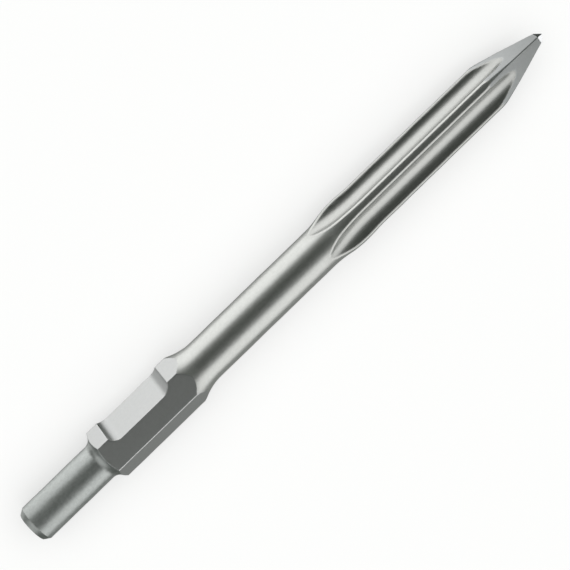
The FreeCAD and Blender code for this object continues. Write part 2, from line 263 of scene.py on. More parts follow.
# %% Surround it all with a quiet room
ROOM_COLOUR = (0.130, 0.142, 0.130, 1)
CLOTH_COLOUR = (0.040, 0.044, 0.040, 1)
CLOTH_EDGE, CLOTH_MIDDLE = math.cos(math.radians(26)), math.cos(math.radians(10))
BACKDROP_COLOUR = (0.985, 0.985, 0.98, 1)

world = bpy.data.worlds.new("room")
scene.world = world
world.use_nodes = True
nodes = world.node_tree.nodes
wire = world.node_tree.links.new
looking = nodes.new("ShaderNodeTexCoord")
toward_camera = nodes.new("ShaderNodeVectorMath")
toward_camera.operation = "DOT_PRODUCT"
toward_camera.inputs[1].default_value = to_camera
cloth = nodes.new("ShaderNodeMapRange")
cloth.interpolation_type = "SMOOTHSTEP"
cloth.inputs["From Min"].default_value = CLOTH_EDGE
cloth.inputs["From Max"].default_value = CLOTH_MIDDLE
surroundings = nodes.new("ShaderNodeMix")
surroundings.data_type = "RGBA"
surroundings.inputs["A"].default_value = ROOM_COLOUR
surroundings.inputs["B"].default_value = CLOTH_COLOUR
room = nodes["Background"]
backdrop = nodes.new("ShaderNodeBackground")
backdrop.inputs["Color"].default_value = BACKDROP_COLOUR
rays = nodes.new("ShaderNodeLightPath")
pick = nodes.new("ShaderNodeMixShader")
wire(looking.outputs["Generated"], toward_camera.inputs[0])
wire(toward_camera.outputs["Value"], cloth.inputs["Value"])
wire(cloth.outputs["Result"], surroundings.inputs["Factor"])
wire(surroundings.outputs["Result"], room.inputs["Color"])
wire(rays.outputs["Is Camera Ray"], pick.inputs["Fac"])
wire(room.outputs["Background"], pick.inputs[1])
wire(backdrop.outputs["Background"], pick.inputs[2])
wire(pick.outputs["Shader"], nodes["World Output"].inputs["Surface"])
scene.view_settings.view_transform = "Standard"
print("lights:", len(bpy.data.lights), "and a room with a dark cloth round the camera")

# %% [markdown]
# ## The form of the chisel, as a meeting of faces
# On the real tool every stretch of surface is left by one operation: the lathe turns the blank, the
# hammer forges six flats and four flutes, the mill cuts the notch, and the grinder makes the point.
# The steel is what lies under all of these faces at once.
#
# Blender could cut these forms from a solid with Boolean and Bevel modifiers, but the slivers that
# they leave show up at once in reflections. Here each face is a function instead, that says, for any
# point, how deep it lies under that face, and which way the face looks there. All lengths are in
# millimetres. A point is given by its place along the axis, across it, and up towards the notch.

# %% A face
Face = namedtuple("Face", "depth normal edge")


def face(depth, *normal):
    """A face from its depths and its normal's three parts, with no worn edge yet."""
    shape = np.broadcast_shapes(np.shape(depth), *[np.shape(part) for part in normal])
    parts = [np.broadcast_to(part, shape) for part in normal]
    return Face(np.broadcast_to(depth, shape), np.stack(parts), np.zeros(shape))


def flat(point, turn, height, fall=0.0):
    """A flat face square to a direction round the axis. It is height minus what the point reaches in that
    direction, and the height falls by the given share along the axis."""
    _, across, up = point
    square = 1 / math.hypot(1, fall)
    reach = across * np.sin(turn) + up * np.cos(turn)
    return face((height - reach) * square, fall * square, np.sin(turn) * square, np.cos(turn) * square)


print("10 mm up lies", float(flat((0, 0, 10), 0, 15).depth), "mm under a flat at 15 mm")

# %% [markdown]
# ## Round edges
# No edge of a real forging is sharp. Where two faces meet, an arc of a circle touches both. Its centre
# lies one radius deep under both faces. How far a point stands out from that centre towards each face
# is the radius less its depth, and the two reaches give the distance from the centre, as in an oblique
# triangle. Where that arc is outside the steel's corner, the nearer face counts alone.
#
# A Bevel modifier makes such arcs too, but not where a flute leaves a round shaft at hardly any angle.
# A formula doesn't mind. Each point also remembers how near it is to the crest of an arc, because
# crests rub bright.

# %% Round an edge
COSINE_RANGE = (-0.99, 0.999)
NEVER_ZERO = 1e-12


def rounded(one, other, radius):
    """The meeting of two faces with a round edge. With reaches u and v and the cosine c between the
    normals, the distance from the arc's centre is the root of (u*u + v*v - 2*u*v*c) / (1 - c*c)."""
    cosine = np.clip((one.normal * other.normal).sum(0), *COSINE_RANGE)
    u, v = radius - one.depth, radius - other.depth
    share_one = (u - v * cosine) / (1 - cosine**2)
    share_other = (v - u * cosine) / (1 - cosine**2)
    on_arc = (share_one > 0) & (share_other > 0)
    away = np.sqrt(np.maximum(share_one * u + share_other * v, NEVER_ZERO))
    nearer = one.depth < other.depth
    depth = np.where(on_arc, radius - away, np.where(nearer, one.depth, other.depth))
    arc_normal = (share_one * one.normal + share_other * other.normal) / away
    normal = np.where(on_arc, arc_normal, np.where(nearer, one.normal, other.normal))
    crest = 2 * np.minimum(share_one, share_other) / np.maximum(share_one + share_other, NEVER_ZERO)
    before = np.where(nearer, one.edge, other.edge)
    return Face(depth, normal, np.where(on_arc, np.maximum(crest, before), before))


upper, right = flat((0, 1, 1), 0, 1), flat((0, 1, 1), math.pi / 2, 1)
print("a 2 mm round takes", round(-float(rounded(upper, right, 2).depth), 2), "mm off a square corner")

# %% [markdown]
# Wear is another kind of round. It takes about as much off every edge, whatever the angle between the
# two faces, so a flat corner gets a much wider arc than a sharp one.

# %% Wear an edge
WIDEST_ARC = 60.0
LEAST_TURN = 1e-3


def worn(one, other, reach):
    """The meeting of two faces whose edge is worn back by about the same reach whatever the angle: the
    radius is the reach over one less the cosine between the normals, up to WIDEST_ARC."""
    cosine = (one.normal * other.normal).sum(0)
    return rounded(one, other, np.minimum(reach / np.maximum(1 - cosine, LEAST_TURN), WIDEST_ARC))


# %% [markdown]
# ## The turned blank
# Under the flats and flutes lies a body of revolution: the nose, the hollow at its root, the blank of
# the shank, the neck, the shaft, the swell and the ribs. Its profile is a chain of straight runs and
# arcs, so it is drawn as one polyline with many points on each arc.

# %% Draw the profile
LENGTH = 400.0
NOSE_RADIUS, NOSE_END, ROOT_RADIUS, SHOULDER = 11.85, 52.3, 6.0, math.radians(60)
FLAT_HEIGHT, FORGING_ALLOWANCE = 15.0, 0.5
BLANK_RADIUS = FLAT_HEIGHT / math.cos(math.radians(30)) + FORGING_ALLOWANCE
SHAFT_RADIUS, SHAFT_START, NECK_RADIUS, NECK = 12.95, 136.1, 34.0, math.radians(26)
SWELL_START, SWELL_CREST, SWELL_END, SWELL_RADIUS = 225.0, 248.0, 264.0, 15.15
RIB_RADIUS = 14.6
PAST_THE_END = 10.0
ARC_POINTS = 40


def arc(x, radius, bend, start, end):
    """Points of an arc that is level at one station: x + bend*sin(t) and radius + bend*(1 - cos(t))."""
    t = np.linspace(start, end, ARC_POINTS)
    return np.column_stack([x + abs(bend) * np.sin(t), radius + bend * (1 - np.cos(t))])


def wave(x_low, low, x_high, high):
    """Two equal arcs that carry the profile from one level to the other. Half the run is the radius
    times the sine of the turn, and the turn is twice the slope of the straight line between them."""
    run, rise = x_high - x_low, high - low
    turn = 2 * math.atan(abs(rise / run))
    bend = math.copysign(abs(run) / 2 / math.sin(turn), rise)
    side = math.copysign(1, run)
    return [arc(x_low, low, bend, 0, side * turn), arc(x_high, high, -bend, -side * turn, 0)]


root = arc(NOSE_END, NOSE_RADIUS, ROOT_RADIUS, 0, SHOULDER)
shoulder_rise = BLANK_RADIUS - root[-1, 1]
neck = arc(SHAFT_START, SHAFT_RADIUS, NECK_RADIUS, -NECK, 0)
neck_rise = BLANK_RADIUS - neck[0, 1]
profile = np.concatenate([
    [(-PAST_THE_END, NOSE_RADIUS)],
    root,
    [(root[-1, 0] + shoulder_rise / math.tan(SHOULDER), BLANK_RADIUS)],
    [(neck[0, 0] - neck_rise / math.tan(NECK), BLANK_RADIUS)],
    neck,
    *wave(SWELL_START, SHAFT_RADIUS, SWELL_CREST, SWELL_RADIUS),
    *wave(SWELL_CREST, SWELL_RADIUS, SWELL_END, RIB_RADIUS),
    [(LENGTH + PAST_THE_END, RIB_RADIUS)],
])
print("profile:", len(profile), "points, widest radius", round(profile[:, 1].max(), 2), "mm")

# %% [markdown]
# Blender could spin this profile into a mesh, but the flats and flutes still have to cut it. So it
# becomes a face like the others. Its slope is measured over a twentieth of a millimetre to each side.

# %% Turn the profile into a face
SLOPE_STEP = 0.05


def blank(point):
    """The turned face. The gap to the profile is measured square to its slope."""
    x, across, up = point
    radius, ahead, behind = [np.interp(x + shift, *profile.T) for shift in (0, SLOPE_STEP, -SLOPE_STEP)]
    slope = (ahead - behind) / (2 * SLOPE_STEP)
    square = 1 / np.hypot(1, slope)
    out = np.hypot(across, up)
    return face((radius - out) * square, -slope * square, across / out * square, up / out * square)


# %% [markdown]
# ## The hexagon
# The shank's six flats fit the hammer's bush, so it can't turn. They repeat round the axis, as the
# flutes and the faces of the point do, so only the two nearest to a point matter. Beyond the shank the
# flats are lifted out of reach, and the neck runs out to the round shaft.

# %% Forge the hexagon
FLATS = 6
HEX_EDGE = 1.0
OUT_OF_REACH = 10.0


def two_nearest(point, count):
    """The directions of the nearest and the second of count faces round the axis."""
    _, across, up = point
    around = np.arctan2(across, up)
    step = 2 * math.pi / count
    first = step * np.round(around / step)
    return first, first + step * np.where(around > first, 1, -1)


def hexagon(point):
    """The nearest two flats and the round edge between them."""
    first, second = two_nearest(point, FLATS)
    height = FLAT_HEIGHT + np.where(point[0] > SHAFT_START, OUT_OF_REACH, 0)
    return rounded(flat(point, first, height), flat(point, second, height), HEX_EDGE)


# %% [markdown]
# ## The latch notch
# The hammer's latch drops into this notch and holds the chisel. A cutter with round sides mills it
# across one flat, so its floor is level and its two ends curve up, each with its own radius. A Boolean
# with the cutter's track would cut the same form. The distance to the cutter's centre gives it as a
# face, with true normals.

# %% Mill the notch
NOTCH_START, NOTCH_END, NOTCH_HEIGHT = 73.4, 105.2, 10.9
NOTCH_BUTT_ARC, NOTCH_POINT_ARC = 7.2, 8.6


def notch(point):
    """The notch's floor and its hollow ends: the distance to the cutter's centre less its radius."""
    x, _, up = point
    butt_side = x < (NOTCH_START + NOTCH_END) / 2
    radius = np.where(butt_side, NOTCH_BUTT_ARC, NOTCH_POINT_ARC)
    aside = np.clip(x, NOTCH_START, NOTCH_END) - x
    above = NOTCH_HEIGHT + radius - up
    away = np.hypot(aside, above)
    return face(away - radius, aside / away, 0.0, above / away)


print("the notch's floor is", round(NOTCH_END - NOTCH_START, 1), "mm long,",
      round(FLAT_HEIGHT - NOTCH_HEIGHT, 1), "mm deep")

# %% [markdown]
# ## The flutes
# Four hollow flutes make the blade lighter and let the broken concrete out. A die with a round edge
# presses them into the hot steel. Its centre runs level along the blade and then swings out of the
# steel in a wide arc, which leaves the pointed tongues towards the shaft. A circle swept along a curve
# would show the die's track, but the distance to that track is exact at every point.

# %% Forge the flutes
RIBS = 4
FLUTE_RADIUS, FLUTE_CENTRE, FLUTE_START, SWING = 8.0, 15.85, 259.3, 101.0


def flute(point):
    """The nearest flute. The die's centre runs level at FLUTE_CENTRE up to FLUTE_START and then climbs on
    an arc with the radius SWING. The depth is the distance to that track less the die's radius."""
    turn, _ = two_nearest(point, RIBS)
    x, across, up = point
    beside = across * np.cos(turn) - up * np.sin(turn)
    toward = across * np.sin(turn) + up * np.cos(turn)
    back = np.maximum(FLUTE_START - x, 0)
    above = FLUTE_CENTRE + SWING - toward
    arm = np.hypot(back, above)
    drop = arm - SWING
    away = np.hypot(beside, drop)
    out = above / arm * drop
    return face(
        away - FLUTE_RADIUS,
        back / arm * drop / away,
        (out * np.sin(turn) - beside * np.cos(turn)) / away,
        (out * np.cos(turn) + beside * np.sin(turn)) / away,
    )


print("steel between opposite flutes:", round(2 * (FLUTE_CENTRE - FLUTE_RADIUS), 1), "mm")

# %% [markdown]
# ## The point
# Four flat faces are ground on the end, each over a flute, with 34 degrees between opposite ones. The
# very tip is ground again, much blunter, so that it doesn't break. The ridges between the faces are
# broader where they start, at the ribs, and run out finer. Scaling down the end of a mesh would taper
# the flutes too. Faces that cut through them leave the scalloped line of the real tool.

# %% Grind the point
POINT_START, TIP_START, TIP_HALF = LENGTH - 38.8, LENGTH - 3.6, 0.25
FACE_SHARE = math.cos(math.radians(45))
POINT_HEIGHT = RIB_RADIUS * FACE_SHARE
POINT_FALL = math.tan(math.radians(34 / 2)) * FACE_SHARE
TIP_HEIGHT = POINT_HEIGHT - (TIP_START - POINT_START) * POINT_FALL
TIP_FALL = (TIP_HEIGHT - TIP_HALF) / (LENGTH - TIP_START)
TIP_RIDGE = 0.2
RIDGE_EDGE, RIDGE_BROADER, BROAD_BEFORE, BROAD_RUN = 0.75, 1.5, 3.0, 16.0


def pyramid(point, start, height, fall, edge):
    """Four flat faces that fall towards the point, with the edges between them."""
    first, second = two_nearest(point, RIBS)
    falling = height - fall * (point[0] - start)
    return rounded(flat(point, first, falling, fall), flat(point, second, falling, fall), edge)


def ground_point(point):
    """The four ground faces. Their ridges fall from the broader radius to the finer one over BROAD_RUN,
    from BROAD_BEFORE ahead of the point's start."""
    share = np.clip(1 - (point[0] - POINT_START + BROAD_BEFORE) / BROAD_RUN, 0, 1)
    return pyramid(point, POINT_START, POINT_HEIGHT, POINT_FALL, RIDGE_EDGE + RIDGE_BROADER * share)


def blunt_tip(point):
    """The four short faces of the tip."""
    return pyramid(point, TIP_START, TIP_HEIGHT, TIP_FALL, TIP_RIDGE)


print("the point falls", round(POINT_FALL, 3), "mm for each mm, the tip", round(TIP_FALL, 3))

# %% [markdown]
# ## The whole chisel
# The faces are joined one by one, from the butt to the point. Each join names the radius of its edge:
# small on the cut edges, and wide on the ribs, where the die leaves the forging's corners round.

# %% Join the faces
CHAMFER_LENGTH, CHAMFER_DEPTH = 3.5, 2.3
SHANK_EDGE, CHAMFER_EDGE, BUTT_EDGE, NOTCH_EDGE = 0.35, 0.5, 0.4, 0.5
RIB_EDGE, POINT_WEAR = 2.1, 0.5
TIP_EDGE, END_EDGE = 0.1, 0.12


def chamfer(point):
    """The cone at the butt. The gap to it is measured square to its slope."""
    x, across, up = point
    out = np.hypot(across, up)
    lean = CHAMFER_DEPTH / CHAMFER_LENGTH
    square = 1 / math.hypot(1, lean)
    gap = NOSE_RADIUS - CHAMFER_DEPTH + lean * x - out
    return face(gap * square, -lean * square, across / out * square, up / out * square)


def chisel(point):
    """All the faces of the chisel at some points."""
    butt = face(point[0], -1.0, 0.0, 0.0)
    end = face(LENGTH - point[0], 1.0, 0.0, 0.0)
    steel = rounded(blank(point), hexagon(point), SHANK_EDGE)
    steel = rounded(steel, chamfer(point), CHAMFER_EDGE)
    steel = rounded(steel, butt, BUTT_EDGE)
    steel = rounded(steel, notch(point), NOTCH_EDGE)
    steel = rounded(steel, flute(point), RIB_EDGE)
    steel = worn(steel, ground_point(point), POINT_WEAR)
    steel = rounded(steel, blunt_tip(point), TIP_EDGE)
    return rounded(steel, end, END_EDGE)


# %% [markdown]
# ## The grid: rows
# The skin is a grid: rows are stations along the axis and columns are directions round it. An even
# grid fine enough for the edges would have millions of cells, so the rows stand close only where the
# form changes quickly. Each pair below is a station and the distance from row to row there.

# %% Space the rows
ROW_SPACING = np.array([
    (0, 0.04), (0.6, 0.15), (3, 0.25), (4, 0.25), (5, 3), (50, 3), (52.3, 0.45), (58, 0.25), (62.5, 0.3),
    (64, 1.2), (66, 0.6), (67.5, 0.3), (74, 0.5), (76, 3), (103, 3), (105, 0.5), (112.5, 0.32),
    (114, 1.2), (118, 0.6), (125, 0.42), (133, 0.8), (140, 3), (220, 3), (228, 1), (235, 0.6),
    (262, 0.6), (270, 1.5), (280, 3), (348, 3), (354, 0.6), (358, 0.33), (374, 0.33), (380, 1.2),
    (394.5, 1.2), (395.8, 0.16), (396.9, 0.16), (399.4, 0.25), (399.8, 0.06), (400, 0.03),
])
FINE_STEPS = 20001


def evenly(density, low, high, count=None):
    """Places count numbers from low to high so that they stand close where density is high: equal steps
    of the summed density. Without a count, the whole sum is the count."""
    fine = np.linspace(low, high, FINE_STEPS)
    weight = density(fine)
    total = np.concatenate([[0], np.cumsum((weight[1:] + weight[:-1]) / 2) * (fine[1] - fine[0])])
    count = count or round(total[-1])
    return np.interp(np.linspace(0, total[-1], count + 1), total, fine)


rows = evenly(lambda x: 1 / np.interp(x, *ROW_SPACING.T), 0, LENGTH)
print("rows:", len(rows))

# %% [markdown]
# ## The grid: columns
# The columns gather at the six edges of the hexagon and the rims of the notch on the shank, and at the
# four ribs on the blade. They drift from one set to the other along the round shaft, where it makes no
# difference.

# %% Space the columns
COLUMNS = 208
DRIFT_START, DRIFT_RUN = 145, 70

Crowd = namedtuple("Crowd", "places extra width")
HEX_EDGES, RIB_LINES, NOTCH_RIMS = np.arange(30, 390, 60), np.arange(45, 405, 90), (45.3, -45.3)
ON_SHANK = [Crowd(HEX_EDGES, 5, 2.4), Crowd(NOTCH_RIMS, 3, 1.8)]
ON_BLADE = [Crowd(RIB_LINES, 0.4, 20), Crowd(RIB_LINES, 3, 1.5)]


def near(angle, places, width):
    """One at the given places round the axis, in degrees, and fading to nothing over the width."""
    off = np.degrees(angle)[..., None] - np.asarray(places)
    off = (off + 180) % 360 - 180
    return np.exp(-((off / width) ** 2)).sum(-1)


def columns(crowds):
    """Directions once round the axis, with a density of one and each crowd's extra at its places."""
    def density(angle):
        return 1 + sum(one.extra * near(angle, one.places, one.width) for one in crowds)
    return evenly(density, 0, 2 * math.pi, COLUMNS)[:-1]


def eased(value):
    """Zero below zero, one above one, and a smooth step between: v * v * (3 - 2 * v)."""
    value = np.clip(value, 0, 1)
    return value * value * (3 - 2 * value)


drift = eased((rows - DRIFT_START) / DRIFT_RUN)[:, None]
around = columns(ON_SHANK) * (1 - drift) + columns(ON_BLADE) * drift
station = np.broadcast_to(rows[:, None], around.shape)
print("grid:", around.shape[0], "rows by", around.shape[1], "columns")

# %% [markdown]
# ## The unevenness of a forging
# No hammer leaves steel quite true. A few slow waves, hundredths of a millimetre high, make the
# reflections along the shaft tremble a little. A Displace modifier could do it, but then the normals
# would no longer come from the form. Each row below is one wave: how fast it runs along the axis, how
# often it goes round, where it starts, and how high it is.

# %% Let the surface waver
WAVES = np.array([
    (0.210, 2, 0.3, 0.020), (0.347, -3, 1.9, 0.014), (0.093, 1, 4.4, 0.022), (0.519, 5, 2.6, 0.008),
    (0.411, -7, 5.1, 0.008), (0.160, 4, 0.9, 0.012), (0.730, -2, 3.7, 0.006),
])
CALM = 4.0


def unevenness(x, turn):
    """How far the forging lies below its nominal form: a sum of slow waves, never above it, that calms
    down towards both ends."""
    per_mm, times_round, phase, height = WAVES.T[..., None, None]
    waves = (height * (1 + np.cos(per_mm * x + times_round * turn + phase))).sum(0)
    return waves * eased(x / CALM) * eased((LENGTH - x) / CALM)


sunk = unevenness(station, around)
print("the surface sinks by up to", round(float(sunk.max()), 3), "mm")

# %% [markdown]
# ## Find the surface
# Along each direction from the axis the depth falls steadily until it is zero at the surface. Halving
# the range that holds the zero, thirty times over, finds it for all the grid's points at once.

# %% Halve the ranges
NEAREST, FARTHEST, HALVINGS = 0.02, 19.0, 30
TOUCH = 1e-6


def at(x, turn, radius):
    """The point at a station, in a direction from the axis and at a distance from it."""
    return np.stack([x, radius * np.sin(turn), radius * np.cos(turn)])


inside = np.full(station.shape, NEAREST)
outside = np.full(station.shape, FARTHEST)
for _ in range(HALVINGS):
    middle = (inside + outside) / 2
    in_steel = chisel(at(station, around, middle)).depth >= sunk - TOUCH
    inside = np.where(in_steel, middle, inside)
    outside = np.where(in_steel, outside, middle)
surface = at(station, around, inside)
found = chisel(surface)
print("widest at", round(float(inside.max()), 2), "mm from the axis")

# %% [markdown]
# ## What the finish needs to know
# The finish changes over the surface, and the form knows where. Two numbers go with each point: "edge"
# is one on the crest of a rounded edge, which rubs bright, and "hollow" is one on the steep walls of
# the flutes, whose colour is darkened as painted shade. Painting them by hand would work too, but would
# be lost with each change of the form.

# %% Measure the hollows
# Painted shade: the hollow number darkens the colour of the flutes' steep walls, a quarter of that on
# their bottoms, and more towards their ends.
BOTTOM_SHADE, END_SHADE, END_SHADE_START, END_SHADE_RUN = 0.25, 0.35, 350, 20
STEEP_FROM, STEEP_RUN = 0.88, 0.42
RIM_FADE = 1.6


def hollow_at(point):
    """One on the walls of a flute, where its normal leans far from the flute's own direction, and a
    quarter on its bottom, which rises to six tenths towards the flute's end. This is painted shade. It
    fades out where a point lies 0.6 to 1.6 mm under the flute's own face."""
    groove = flute(point)
    turn, _ = two_nearest(point, RIBS)
    facing = groove.normal[1] * np.sin(turn) + groove.normal[2] * np.cos(turn)
    steep = eased((STEEP_FROM - facing) / STEEP_RUN)
    bottom = BOTTOM_SHADE + END_SHADE * eased((point[0] - END_SHADE_START) / END_SHADE_RUN)
    return (bottom + (1 - bottom) * steep) * eased(RIM_FADE - groove.depth)


def percent(mask):
    """How much of a mask is true, in percent."""
    return round(float(mask.mean() * 100), 1)


hollow = hollow_at(surface)
print("on edges", percent(found.edge > 0.5), "% of points, in hollows", percent(hollow > 0.5), "%")

# %% [markdown]
# Three masks pick out the faces that were cut and not forged: the ground point, the flats and the
# notch of the shank, and the turned nose. A point belongs to a face when it lies under it by no more
# than a twentieth of a millimetre.

# %% Pick out the flats and the ground faces
SKIN = 0.05
TURNED_END = 62.5

slack = sunk + SKIN
ground = ground_point(surface).depth < slack
on_flat = (hexagon(surface).depth < slack) | (notch(surface).depth < slack)
turned = (station < TURNED_END) & ~on_flat
print("ground", percent(ground), "% of points, flat", percent(on_flat), "%, turned", percent(turned), "%")

# %% [markdown]
# ## How the chisel lies
# So far the notch looks straight up. The chisel rests on a flat of its shank, with the notch on the
# flat beside the top one, so everything turns by a sixth of a circle about the axis.

# %% Turn the chisel to how it lies
LIE = math.radians(60)


def lie_down(point):
    """Turns the notch's direction from straight up by 60 degrees, towards +Y: across*cos + up*sin, and
    up*cos - across*sin."""
    x, across, up = point
    sideways = across * math.cos(LIE) + up * math.sin(LIE)
    upwards = up * math.cos(LIE) - across * math.sin(LIE)
    return np.stack([x, sideways, upwards])


# %% [markdown]
# ## The mesh
# The grid closes on itself round the axis, and a fan of triangles closes each end. Smooth shading would
# guess each normal from the cells around it. Here the normals come from the faces of the form, so the
# reflections run as true as on the real tool.

# %% Make the mesh
def ring_faces(array):
    """The four corners of each cell of a grid that closes on itself along its second axis."""
    beside = np.roll(array, -1, axis=1)
    return np.stack([array[:-1], array[1:], beside[1:], beside[:-1]], axis=-1).reshape(-1, 4)


corner = np.arange(station.size).reshape(station.shape)
butt_centre, tip_centre = station.size, station.size + 1
first, last = corner[0], corner[-1]
butt_fan = np.stack([np.full(COLUMNS, butt_centre), first, np.roll(first, -1)], axis=-1)
tip_fan = np.stack([np.full(COLUMNS, tip_centre), np.roll(last, -1), last], axis=-1)
points = np.concatenate([lie_down(surface).reshape(3, -1).T, [(0, 0, 0), (LENGTH, 0, 0)]]) * MM
quads = ring_faces(corner)

mesh = bpy.data.meshes.new("forged_chisel")
mesh.from_pydata(points.tolist(), [], quads.tolist() + butt_fan.tolist() + tip_fan.tolist())
mesh.shade_smooth()
normals = np.concatenate([lie_down(found.normal).reshape(3, -1).T, [(-1, 0, 0), (1, 0, 0)]])
normals /= np.linalg.norm(normals, axis=1, keepdims=True)
mesh.normals_split_custom_set_from_vertices(normals.tolist())
# The hollow number is painted shade, which the finish turns into a darker colour.
for name, values in (("edge", found.edge), ("hollow", hollow)):
    layer = mesh.attributes.new(name, "FLOAT", "POINT")
    layer.data.foreach_set("value", np.append(values.ravel(), [0, 0]).astype(np.float32))
mesh.calc_loop_triangles()
print("the skin has", len(mesh.vertices), "points and", len(mesh.loop_triangles), "triangles")

# %% [markdown]
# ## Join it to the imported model
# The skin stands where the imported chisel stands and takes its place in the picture. It rides the one
# body that there is, and it is steel. It also joins the collection that the softboxes light.

# %% Put the skin in its place
chisel_skin = show(bpy.data.objects.new("forged_chisel", mesh))
for_the_steel.objects.link(chisel_skin)
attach(chisel_skin, "root")
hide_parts("pointed_chisel")
print(chisel_skin.name, "is in", len(chisel_skin.users_collection), "collections")

# %% [markdown]
# ## Shared effects, as node groups
# All five finishes of this steel have grain, marks, wear and painted shade in common. Each effect is a
# node group, built once, that takes other numbers in each material. So a change to the grain changes it
# all over the tool. These helpers start a group and put nodes into it.

# %% Start a node group
def node_group(name, inputs, outputs):
    """An empty shader group with named sockets. Inputs are (name, kind, default)."""
    group = bpy.data.node_groups.new(name, "ShaderNodeTree")
    for label, kind, default in inputs:
        socket = group.interface.new_socket(label, in_out="INPUT", socket_type="NodeSocket" + kind)
        if default is not None:
            socket.default_value = default
    for label, kind in outputs:
        group.interface.new_socket(label, in_out="OUTPUT", socket_type="NodeSocket" + kind)
    return group, group.nodes.new("NodeGroupInput"), group.nodes.new("NodeGroupOutput")


def feed(tree, socket, value):
    """Links another socket to this one, or sets it to a plain value."""
    if isinstance(value, bpy.types.NodeSocket):
        tree.links.new(value, socket)
    else:
        socket.default_value = value


def maths(tree, operation, *values):
    """A Math node, fed by sockets or by plain numbers."""
    node = tree.nodes.new("ShaderNodeMath")
    node.operation = operation
    for socket, value in zip(node.inputs, values):
        feed(tree, socket, value)
    return node.outputs[0]


# %% [markdown]
# ## Blasted grain
# All the steel is blasted with grit after forging, which leaves a fine grain and faint clouds. Both are
# noise on Object coordinates, where one unit is a metre, so a scale of 1000 makes features of about a
# millimetre. Real pits would need a mesh a hundred times finer, so the grain stays in the material.

# %% Blast the steel
def noise(tree, vector, scale, detail, rough):
    """A noise texture. It gives values round one half."""
    node = tree.nodes.new("ShaderNodeTexNoise")
    for label, value in (("Vector", vector), ("Scale", scale), ("Detail", detail), ("Roughness", rough)):
        feed(tree, node.inputs[label], value)
    return node.outputs[0]


blasted, given, made = node_group(
    "blasted_grain",
    [("Vector", "Vector", None), ("Grain per metre", "Float", 2400.0),
     ("Blotches per metre", "Float", 560.0)],
    [("Height", "Float"), ("Mottle", "Float")],
)
where = given.outputs["Vector"]
pits = noise(blasted, where, given.outputs["Grain per metre"], detail=2.0, rough=0.6)
blotches = noise(blasted, where, given.outputs["Blotches per metre"], detail=5.0, rough=0.72)
feed(blasted, made.inputs["Height"], pits)
feed(blasted, made.inputs["Mottle"], blotches)
print("sockets of", blasted.name + ":", ", ".join(item.name for item in blasted.interface.items_tree))

# %% [markdown]
# ## Tool marks
# A lathe and a grinder leave fine rings or strokes square to the axis. They are noise that changes
# quickly along the axis and slowly across it, which a stretched vector gives. A picture of brushed
# steel would do as well, but noise has no seam and never repeats.

# %% Leave tool marks
STRETCH = (1.0, 0.03, 0.03)

tooling, given, made = node_group(
    "tool_marks",
    [("Vector", "Vector", None), ("Marks per metre", "Float", 1500.0)],
    [("Height", "Float")],
)
stretch = tooling.nodes.new("ShaderNodeVectorMath")
stretch.operation = "MULTIPLY"
stretch.inputs[1].default_value = STRETCH
feed(tooling, stretch.inputs[0], given.outputs["Vector"])
marks = noise(tooling, stretch.outputs[0], given.outputs["Marks per metre"], detail=2.0, rough=0.5)
feed(tooling, made.inputs["Height"], marks)
print("the marks are", round(STRETCH[0] / STRETCH[1]), "times as long as they are wide")

# %% [markdown]
# ## Worn edges and painted shade in the hollows
# Handling rubs the edges bright and smooth. In the hollows the colour is darkened as painted shade.
# This group turns the two numbers that the mesh carries into a colour and a roughness. The clouds of
# the grain make both a little uneven, because wear never is even.

# %% Wear the edges and paint shade into the hollows
RUB_LEAST, RUB_UNEVENNESS, RUB_POLISH = 0.9, 3.0, 0.2
CLOUDS_IN_ROUGHNESS = 0.3

wear_and_painted_shade, given, made = node_group(
    "worn_edges_painted_hollow_shade",
    [("Steel", "Color", (0.5, 0.5, 0.5, 1)), ("Mottle", "Float", 0.5), ("Contrast", "Float", 0.2),
     ("Roughness", "Float", 0.4), ("Edge shine", "Float", 0.3), ("Hollow shade", "Float", 0.3)],
    [("Color", "Color"), ("Roughness", "Float")],
)


def carried(tree, name):
    """A number that the mesh carries at each of its points."""
    node = tree.nodes.new("ShaderNodeAttribute")
    node.attribute_name = name
    return node.outputs["Fac"]


def dimmed(tree, colour, level):
    """A colour times a grey of the given level."""
    grey = tree.nodes.new("ShaderNodeCombineColor")
    for channel in grey.inputs:
        feed(tree, channel, level)
    mix = tree.nodes.new("ShaderNodeMix")
    mix.data_type = "RGBA"
    mix.blend_type = "MULTIPLY"
    for label, value in (("Factor", 1.0), ("A", colour), ("B", grey.outputs[0])):
        feed(tree, mix.inputs[label], value)
    return mix.outputs["Result"]


clouds = maths(wear_and_painted_shade, "SUBTRACT", given.outputs["Mottle"], 0.5)
tone = maths(wear_and_painted_shade, "MULTIPLY_ADD", clouds, given.outputs["Contrast"], 1.0)
rubbed = maths(wear_and_painted_shade, "MULTIPLY", carried(wear_and_painted_shade, "edge"), given.outputs["Edge shine"])
rubbed = maths(wear_and_painted_shade, "MULTIPLY", rubbed, maths(wear_and_painted_shade, "MULTIPLY_ADD", clouds, RUB_UNEVENNESS, RUB_LEAST))
